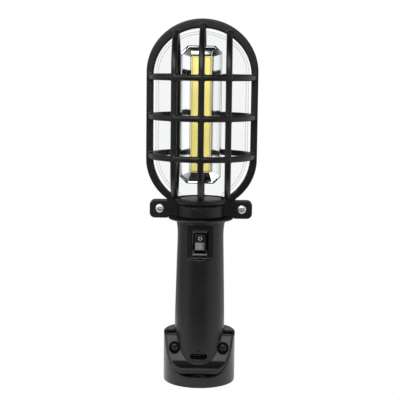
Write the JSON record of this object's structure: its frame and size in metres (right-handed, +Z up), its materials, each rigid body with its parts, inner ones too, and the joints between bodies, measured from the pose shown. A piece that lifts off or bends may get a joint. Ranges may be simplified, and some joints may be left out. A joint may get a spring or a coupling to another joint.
{
  "type": "rechargeable work light",
  "caption": "Upright caged work light: clear globe over a mirrored tray with a yellow LED strip, black cage and collar, straight grip with rocker switch, round drum base.",
  "frame": {"origin": "middle of the base's underside, which is the bottom centre of the bounding box", "axes": "+Z up along the grip and head, the switch and the LED strip face -Y, X across the ears"},
  "size_m": [0.088, 0.084, 0.2901],
  "materials": {
    "black_plastic": "satin moulded black with a fine spark texture",
    "switch_plastic": "smooth semi-gloss black",
    "white_plastic": "smooth white, the printed marks on the rocker",
    "clear_plastic": "clear polished polycarbonate",
    "mirror_coat": "vacuum-metallised mirror",
    "phosphor": "yellow silicone phosphor, unlit",
    "board_white": "white solder mask",
    "board_green": "green solder mask",
    "aluminium": "bare sheet",
    "bright_steel": "zinc plated, bright",
    "black_steel": "black oxide",
    "nickel": "nickel plated",
    "brass": "bare brass",
    "rubber": "matte black",
    "cell_wrap": "shrink sleeve, plain",
    "red_wire": "insulated lead",
    "black_wire": "insulated lead"
  },
  "bodies": {
    "root": {"base_cup": "black_plastic", "base_pad": "rubber", "base_cover": "black_plastic", "base_magnet": "nickel", "magnet_plate": "bright_steel", "base_screw_right": "black_steel", "base_screw_left": "black_steel", "handle_front": "black_plastic", "handle_rear": "black_plastic", "handle_screw": "black_steel", "switch_housing": "switch_plastic", "switch_terminal_upper": "brass", "switch_terminal_lower": "brass", "battery_cell": "cell_wrap", "battery_tab_lower": "nickel", "battery_tab_upper": "nickel", "charge_board": "board_green", "usb_port": "black_steel", "usb_tongue": "switch_plastic", "indicator_pipe": "clear_plastic", "cage_front": "black_plastic", "cage_rear": "black_plastic", "cage_screw_right": "bright_steel", "cage_screw_left": "bright_steel", "cage_nut_right": "bright_steel", "cage_nut_left": "bright_steel", "lens_globe": "clear_plastic", "lens_gasket": "rubber", "reflector_tray": "mirror_coat", "cob_board": "board_white", "cob_strip": "phosphor", "heat_sink": "aluminium", "module_pedestal": "black_plastic", "led_lead_positive": "red_wire", "led_lead_negative": "black_wire"},
    "rocker": {"rocker": "switch_plastic"}
  },
  "joints": [
    {"name": "rocker_tilt", "type": "hinge", "parent": "root", "child": "rocker", "pos_m": [0, -0.0141, 0.1145], "axis": [1, 0, 0], "range_deg": [0, 24]}
  ]
}
